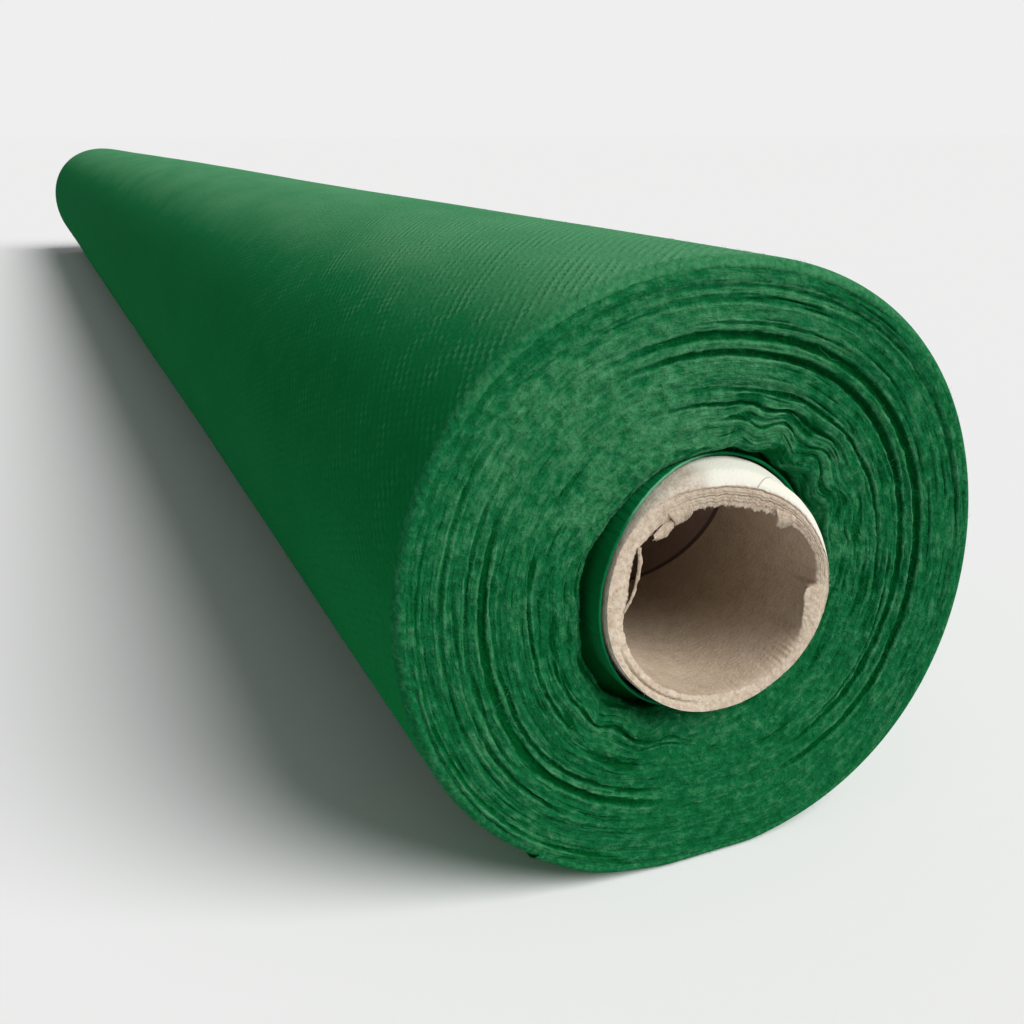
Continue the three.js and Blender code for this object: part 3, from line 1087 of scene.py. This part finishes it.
# %% The bore: kraft paper with scratches, stains, and the dark seam of its wound strips
def kraft_paper(graph, spot, around, along, grain, clouds, fibres):
    degrees_round = around * (180.0 / math.pi / TUBE_OUTSIDE)
    seam = (along - degrees_round * SEAM_SLOPE - SEAM_START) / SEAM_LEAD
    seam = (seam - whole(seam)) * SEAM_LEAD
    scratches = rise(graph.noise(graph.vector(around * 1.1, along * 0.10, 0.0), 1.0, 2.0), 0.66, 0.95)
    kraft = fibres * 0.20 + grain * 0.22 + clouds * 0.14 + scratches * 0.26 + 0.50
    kraft = graph.ramp(kraft, *KRAFT)
    kraft = graph.blend(rise(graph.noise(spot, 0.55, 1.0), 0.95, 1.15) * 0.8, kraft, STAIN)
    kraft = graph.blend(rise(seam, 32.0, 0.0) * 0.55, kraft, OLD_GLUE)
    return graph.blend(rise(abs(seam - 0.9), 1.5, 0.3) * 0.75, kraft, SEAM_SHADE)


# %% The outside: white liner where it is whole, worn board elsewhere, and one crease
def outer_liner(graph, around, along, grain, clouds, blots):
    turned = around / TUBE_OUTSIDE
    whole_liner = window(turned, 53.0, 54.0, 0.75) * rise(clouds + grain * 0.5, 1.5, 0.6)
    worn = graph.blend(rise(grain + blots, -0.8, 0.8), WORN_DARK, WORN_LIGHT)
    liner = graph.blend(whole_liner, worn, LINER)
    crease_at = turned * (180.0 / math.pi) + along * 4.0 - 66.0
    crease = rise(abs(crease_at + grain * 0.4), 0.75, 0.2) * window(turned, 68.0, 9.0, 0.7)
    return graph.blend(crease * 0.7, liner, CREASE_SHADE)


# %% The board's material, and the tube
def paint_board(graph, shader):
    set_finish(shader, 0.85, 0.25)
    spot = place_in_mm(graph)
    around, along = place_on_sheet(graph)
    zone = kept_number(graph, "zone")
    clouds = graph.noise(spot, 0.25, 3.0)
    grain = graph.noise(spot, 1.6, 3.0, 0.65)
    fibres = graph.noise(graph.vector(around * 0.35, along * 2.2, 0.0), 1.0, 2.0, 0.6)
    blots = graph.noise(spot, 0.55, 2.5, 0.6)
    pulp, lines = torn_pulp(graph, spot, around, grain, blots)
    kraft = kraft_paper(graph, spot, around, along, grain, clouds, fibres)
    color = outer_liner(graph, around, along, grain, clouds, blots)
    color = graph.blend(rise(zone, 0.35, 0.65), color, pulp)
    color = graph.blend(rise(zone, 1.35, 1.65), color, kraft)
    graph.feed(shader.inputs["Base Color"], color)
    height = grain * 0.25 + fibres * 0.12 * rise(zone, 1.35, 1.65)
    height = height - lines * 0.6 * rise(abs(zone - 1.0), 0.5, 0.2)
    set_bump(graph, shader, height, 0.25)


BOARD = material("grey-brown board", paint_board)
board = finish_piece(new_object("core_board", board_tube()), "paperboard", BOARD, "core_tube")

# %% [markdown]
# ## Torn paper
# Where the rim was torn, shreds of the inner plies hang over the bore. Cloth simulation could fold
# them, but each is only a few millimetres of stiff paper, and what shows is its outline. So each
# shred is a small curved sheet between two edges, the one it hangs from and its free one, and it
# gets a real thickness and closed sides.

# %% Shreds of paper on the torn rim: angle in degrees, radius and depth in mm
PAPER = 0.22
SHREDS = [
    {"held": [(124, 22.6, 0.6), (129, 22.8, 0.6), (134, 22.9, 0.5), (138, 23.2, 0.3)],
     "free": [(126, 19.8, 1.2), (133, 19.6, 1.0), (138, 20.9, 0.7), (141, 22.6, 0.3)], "curl": 0.6},
    {"held": [(125, 24.4, 0.2), (118, 24.0, 0.3), (111, 23.4, 0.2)],
     "free": [(124, 19.6, 1.6), (117, 18.8, 1.9), (112, 19.4, 1.3)], "curl": 0.9},
    {"held": [(54, 22.0, -2.0), (48, 22.9, -2.0), (40, 23.9, -2.2)],
     "free": [(44, 19.4, -0.8), (38, 20.0, -0.6), (35, 22.4, -1.0)], "curl": 0.5},
    {"held": [(148, 24.8, 0.3), (153, 23.4, 0.1), (160, 22.4, 0.0), (169, 22.1, 0.0), (176, 22.6, 0.0),
              (183, 24.4, 0.1)],
     "free": [(147, 23.8, 0.6), (153, 21.9, 0.5), (160, 21.2, 0.4), (170, 21.2, 0.3), (178, 21.9, 0.3),
              (184, 23.6, 0.4)], "curl": 0.3},
    {"held": [(-26, 28.2, -2.7), (-28.5, 29.2, -2.7), (-31, 29.5, -2.7)],
     "free": [(-27, 29.5, -2.4), (-28, 31.3, -2.0), (-30, 30.4, -2.4)], "curl": 0.1},
]
print(len(SHREDS), "shreds")


# %% One shred: a curved sheet, and the closed slab on it
def shred(held, free, curl, seed, columns=22, rows=8):
    """Points of a sheet between two edges, curled forwards, with a ragged free edge."""
    random = np.random.default_rng(seed)
    edges = []
    for points in (held, free):
        angle, radius, depth = np.array(points).T
        spots = at_angle(radius, depth, np.radians(angle))
        known = np.linspace(0.0, 1.0, len(points))
        wanted = np.linspace(0.0, 1.0, columns)
        edges.append(np.stack([np.interp(wanted, known, spots[:, i]) for i in range(3)], axis=-1))
    across = np.linspace(0.0, 1.0, rows)[:, None, None]
    ragged = np.zeros((1, columns, 3))
    ragged[0, :, ::2] = random.normal(0.0, 0.10, (columns, 2))
    sheet = edges[0] + (edges[1] - edges[0] + ragged) * across
    sheet[..., 1] += NEAR_RIM - curl * np.sin(math.pi * across[..., 0])
    sheet[..., 1] += random.normal(0.0, 0.05, sheet.shape[:2])
    return sheet


def slab(sheet):
    """Points and faces of a closed slab, PAPER thick, on a sheet of rows x columns points."""
    rows, columns = sheet.shape[:2]
    offset = np.array([0.0, PAPER / 2.0, 0.0])
    spots = np.concatenate([(sheet - offset).reshape(-1, 3), (sheet + offset).reshape(-1, 3)])
    back = rows * columns
    faces = []
    for row in range(rows - 1):
        for column in range(columns - 1):
            a = row * columns + column
            front = [a, a + 1, a + columns + 1, a + columns]
            faces.append(front)
            faces.append([corner + back for corner in reversed(front)])
    border = list(range(columns))
    border += [row * columns + columns - 1 for row in range(1, rows)]
    border += [(rows - 1) * columns + column for column in range(columns - 2, -1, -1)]
    border += [row * columns for row in range(rows - 2, 0, -1)]
    for here, after in zip(border, border[1:] + border[:1]):
        faces.append([after, here, here + back, after + back])
    return spots, faces


# %% Several closed pieces in one mesh
def joined(name, pieces):
    """One mesh of several lists of points and faces."""
    spots, faces, count = [], [], 0
    for piece_spots, piece_faces in pieces:
        spots.append(piece_spots)
        faces += [[corner + count for corner in face] for face in piece_faces]
        count += len(piece_spots)
    mesh = bpy.data.meshes.new(name)
    mesh.from_pydata((np.concatenate(spots) * MM).tolist(), [], faces)
    mesh.shade_smooth()
    return mesh


def turn_pieces_outwards(mesh):
    """Turns the faces of a mesh of several closed pieces out, each piece by itself."""
    shape = bmesh.new()
    shape.from_mesh(mesh)
    bmesh.ops.recalc_face_normals(shape, faces=shape.faces)
    shape.to_mesh(mesh)
    shape.free()


# %% The paper's finish, and the shreds themselves
def paint_paper(graph, shader):
    set_finish(shader, 0.9, 0.2)
    spot = place_in_mm(graph)
    grain = graph.noise(spot, 1.6, 3.0, 0.65)
    blots = graph.noise(spot, 0.6, 2.0)
    light = grain * 0.3 + blots * 0.35 + 0.5
    color = graph.ramp(light, (0.0, (0.26, 0.19, 0.13)), (0.5, (0.46, 0.37, 0.28)), (1.0, (0.64, 0.57, 0.46)))
    graph.feed(shader.inputs["Base Color"], color)
    set_bump(graph, shader, grain, 0.12)


TORN_PAPER = material("torn paper", paint_paper)
paper_mesh = joined("torn_paper", [slab(shred(**row, seed=40 + i)) for i, row in enumerate(SHREDS)])
turn_pieces_outwards(paper_mesh)
finish_piece(new_object("torn_paper", paper_mesh), "paperboard", TORN_PAPER)

# %% [markdown]
# ## Loose fibres
# Felted cloth and torn board are never clean at an edge: short fibres stand off them, and a few
# long ones lie across the turns. A hair system would make strands, but they can't be exported.
# Instead of a hair system, geometry nodes scatter points on a surface, as thickly as its fuzz
# attribute says, and put one tapered, bent fibre of three sides on each, leaned over at a random
# angle. Fourteen triangles are enough for one fibre, because no one ever sees it from near.

# %% The rule of the fuzz, as a tree of nodes
def one_fibre(graph, length, thickness):
    """A three-sided fibre that starts at its root, tapers and bends over."""
    size = {"Vertices": 3, "Side Segments": 2, "Radius": thickness, "Depth": length}
    rod = graph.out("GeometryNodeMeshCylinder", None, size)
    x, y, z = graph.parts(graph.out("GeometryNodeInputPosition"))
    share = z / length + 0.5
    thin = 1.0 - share * 0.7
    bent = graph.vector(x * thin + share * share * length * 0.35, y * thin, z + length * 0.5)
    return graph.out("GeometryNodeSetPosition", None, {"Geometry": rod, "Position": bent})


def fuzz_tree():
    inputs = {"Surface": "Geometry", "Fibres per square mm": "Float", "Length": "Float",
              "Thickness": "Float", "Seed": "Int", "Material": "Material"}
    graph, given, value = mesh_graph("fuzz", inputs)

    # The sockets 2, 3 and 8 of a random value are its least, its most and its seed
    def chance(low, high, salt):
        sockets = {2: low, 3: high, 8: value["Seed"] + salt}
        return graph.number("FunctionNodeRandomValue", {"data_type": "FLOAT"}, sockets, 1)

    thickly = graph.number("GeometryNodeInputNamedAttribute", {"data_type": "FLOAT"}, {"Name": "fuzz"})
    density = thickly * value["Fibres per square mm"] * (1.0 / MM / MM)
    sockets = {"Mesh": given["Surface"], "Density": density, "Seed": value["Seed"]}
    spread = graph.add("GeometryNodeDistributePointsOnFaces", None, sockets)
    fibre = one_fibre(graph, value["Length"] * MM, value["Thickness"] * MM)
    lean = graph.out("FunctionNodeEulerToRotation", None,
                     {0: graph.vector(chance(0.9, 1.5, 1), 0.0, chance(0.0, 2 * math.pi, 2))})
    turned = graph.out("FunctionNodeRotateRotation", {"rotation_space": "LOCAL"},
                       {"Rotation": spread.outputs["Rotation"], "Rotate By": lean})
    scale = chance(0.45, 1.3, 3)
    sockets = {"Points": spread.outputs["Points"], "Instance": fibre, "Rotation": turned,
               "Scale": graph.vector(scale, scale, scale)}
    mesh = graph.out("GeometryNodeInstanceOnPoints", None, sockets)
    mesh = graph.out("GeometryNodeRealizeInstances", None, {"Geometry": mesh})
    return finish_mesh(graph, mesh, given["Material"])


# %% The colours of the fibres
def paint_fibre(dark, light):
    def paint(graph, shader):
        set_finish(shader, 0.8, 0.2)
        tint = rise(graph.noise(place_in_mm(graph), 0.35, 2.0), -0.7, 0.9)
        graph.feed(shader.inputs["Base Color"], graph.blend(tint, dark, light))
    return paint


CLOTH_FIBRE = material("cloth fibre", paint_fibre((0.008, 0.13, 0.042), (0.07, 0.28, 0.14)))
PAPER_FIBRE = material("paper fibre", paint_fibre((0.40, 0.31, 0.22), (0.66, 0.60, 0.49)))

# %% Grow the fuzz
FUZZ = fuzz_tree()


def grow_fuzz(name, surface, slot_name, fibre, per_square_mm, length, thickness, seed):
    settings = {"Fibres per square mm": per_square_mm, "Length": length, "Thickness": thickness,
                "Seed": seed, "Material": fibre}
    finish_piece(grown(name, FUZZ, settings, surface.data), slot_name, fibre)


grow_fuzz("near_end_fuzz", near_end, "nonwoven_cloth", CLOTH_FIBRE, 0.72, 1.1, 0.03, 5)
grow_fuzz("far_end_fuzz", far_end, "nonwoven_cloth", CLOTH_FIBRE, 0.22, 1.2, 0.03, 6)
grow_fuzz("skin_fuzz", skin, "nonwoven_cloth", CLOTH_FIBRE, 0.05, 1.1, 0.03, 7)
grow_fuzz("board_fuzz", board, "paperboard", PAPER_FIBRE, 2.4, 0.9, 0.035, 8)

# %% [markdown]
# The long stray fibres are few and each takes its own way, so they are drawn one by one: a short
# walk over the face that keeps turning a little, lifted off the turns in the middle.

# %% Long stray fibres on the near face: angle in degrees and radius in mm
STRAYS = 18
STRAY_POINTS = 14
PLACED_STRAYS = [
    [(-163.5, 52.6), (-162.6, 53.8), (-161.9, 55.2), (-161.6, 57.2)],
    [(-161.9, 55.2), (-160.6, 54.9), (-159.3, 55.0)],
    [(121.5, 56.6), (119.6, 56.0), (117.5, 54.0)],
    [(87.0, 31.9), (85.0, 32.9), (82.0, 33.4)],
    [(154.5, 50.2), (153.4, 49.4), (151.6, 49.8)],
    [(-137.0, 58.6), (-134.6, 58.8), (-133.4, 57.4)],
]
print(STRAYS, "strays and", len(PLACED_STRAYS), "placed ones")


# %% A thin fibre along a line
def tube_along(points, radius):
    """Points and faces of a three-sided fibre along a line, closed and thinner at both ends."""
    ahead = np.gradient(points, axis=0)
    ahead /= np.linalg.norm(ahead, axis=1)[:, None]
    side = np.cross(ahead, [0.0, 1.0, 0.0])
    side /= np.linalg.norm(side, axis=1)[:, None]
    over = np.cross(side, ahead)
    thin = radius * (0.3 + 0.7 * np.sin(np.linspace(0.0, math.pi, len(points))))[:, None]
    corners = [side * math.cos(a) + over * math.sin(a) for a in (0.0, 2.1, 4.2)]
    spots = np.stack([points + corner * thin for corner in corners], axis=1).reshape(-1, 3)
    faces = [[0, 1, 2], [len(spots) - 1, len(spots) - 2, len(spots) - 3]]
    for ring in range(len(points) - 1):
        for corner in range(3):
            a, b = ring * 3 + corner, ring * 3 + (corner + 1) % 3
            faces.append([a, a + 3, b + 3, b])
    return spots, faces


# %% The fibres on the near face
def on_face(angle, radius, lift):
    """Points on the near face, lifted off it."""
    outside = section(angle, 1.0)
    return at_angle(radius, NEAR_RIM + face_depth(outside - radius) - 0.35 - lift, angle)


def stray_fibres():
    random = np.random.default_rng(77)
    pieces = []
    hump = np.sin(np.linspace(0.0, math.pi, STRAY_POINTS))
    for _ in range(STRAYS):
        angle, radius = random.uniform(0.0, 2 * math.pi), random.uniform(36.0, 70.0)
        heading = random.uniform(0.0, 2 * math.pi) + np.cumsum(random.normal(0.0, 0.22, STRAY_POINTS))
        step = random.uniform(0.2, 0.75)
        x = radius * math.cos(angle) + np.cumsum(np.cos(heading)) * step
        z = radius * math.sin(angle) + np.cumsum(np.sin(heading)) * step
        points = on_face(np.arctan2(z, x), np.minimum(np.hypot(x, z), 71.0), hump * random.uniform(0.2, 1.1))
        pieces.append(tube_along(points, random.uniform(0.02, 0.04)))
    for way in PLACED_STRAYS:
        known = np.linspace(0.0, 1.0, len(way))
        wanted = np.linspace(0.0, 1.0, STRAY_POINTS)
        angles, radii = [np.interp(wanted, known, places) for places in zip(*way)]
        pieces.append(tube_along(on_face(np.radians(angles), radii, hump * 0.5), 0.07))
    mesh = joined("stray_fibres", pieces)
    turn_pieces_outwards(mesh)
    return mesh


finish_piece(new_object("stray_fibres", stray_fibres()), "nonwoven_cloth", CLOTH_FIBRE)

# %% [markdown]
# ## Floor, light and camera
# One large soft light from the upper right lights the top and the face, and a weak even light from
# all round keeps the left side readable but dark. The background seen by the camera is the same
# pale grey as the lit floor, so that no horizon shows.

# %% The floor
FLOOR_HALF = 40.0


def paint_floor(graph, shader):
    shader.inputs["Base Color"].default_value = (0.88, 0.885, 0.895, 1.0)
    set_finish(shader, 0.9, 0.0)


def make_floor():
    mesh = bpy.data.meshes.new("floor")
    corners = [(x * FLOOR_HALF, y * FLOOR_HALF, 0) for x, y in ((-1, -1), (1, -1), (1, 1), (-1, 1))]
    mesh.from_pydata(corners, [], [(0, 1, 2, 3)])
    mesh.materials.append(material("pale floor", paint_floor))
    new_object("floor", mesh)


make_floor()

# %% The light: how strong, how wide in degrees, and where from
ROOM_STRENGTH = 0.20
BACKGROUND_STRENGTH = 0.863
KEY_STRENGTH = 3.6
KEY_WIDTH = 42.0
KEY_FROM = (0.74, -1.12, 1.22)


def make_light():
    world = bpy.data.worlds.new("studio")
    bpy.context.scene.world = world
    world.use_nodes = True
    graph = Graph(world.node_tree)
    seen = graph.number("ShaderNodeLightPath")
    strength = seen * (BACKGROUND_STRENGTH - ROOM_STRENGTH) + ROOM_STRENGTH
    sky = graph.out("ShaderNodeBackground", None, {"Color": (1.0, 1.0, 1.0, 1.0), "Strength": strength})
    graph.add("ShaderNodeOutputWorld", None, {"Surface": sky})
    sun = bpy.data.lights.new("key", "SUN")
    sun.energy = KEY_STRENGTH
    sun.angle = math.radians(KEY_WIDTH)
    sun.color = (1.0, 0.99, 0.975)
    key = new_object("key", sun)
    key.rotation_mode = "QUATERNION"
    key.rotation_quaternion = Vector(KEY_FROM).to_track_quat("Z", "Y")


make_light()

# %% The camera: its place from the middle of the near rim in mm, and its angles in degrees
IMAGE_PIXELS = 1024.0
FOCAL_PIXELS = 1082.5
SENSOR_WIDTH = 36.0
CAMERA_FROM_RIM = (-133.0, -186.1, 97.1)
YAW = 23.91
PITCH = 19.36


def make_camera():
    data = bpy.data.cameras.new("camera")
    data.sensor_width = SENSOR_WIDTH
    data.lens = SENSOR_WIDTH * FOCAL_PIXELS / IMAGE_PIXELS
    data.clip_start = 0.01
    camera = new_object("camera", data)
    camera.location = (Vector((0.0, NEAR_RIM, AXIS_HEIGHT)) + Vector(CAMERA_FROM_RIM)) * MM
    yaw, pitch = math.radians(YAW), math.radians(PITCH)
    ahead = math.cos(pitch)
    forward = Vector((math.sin(yaw) * ahead, math.cos(yaw) * ahead, -math.sin(pitch)))
    camera.rotation_mode = "QUATERNION"
    camera.rotation_quaternion = forward.to_track_quat("-Z", "Y")
    bpy.context.scene.camera = camera
    print("lens", round(data.lens, 2), "mm, at", tuple(round(place, 4) for place in camera.location))


make_camera()
bpy.context.scene.view_settings.view_transform = "Standard"
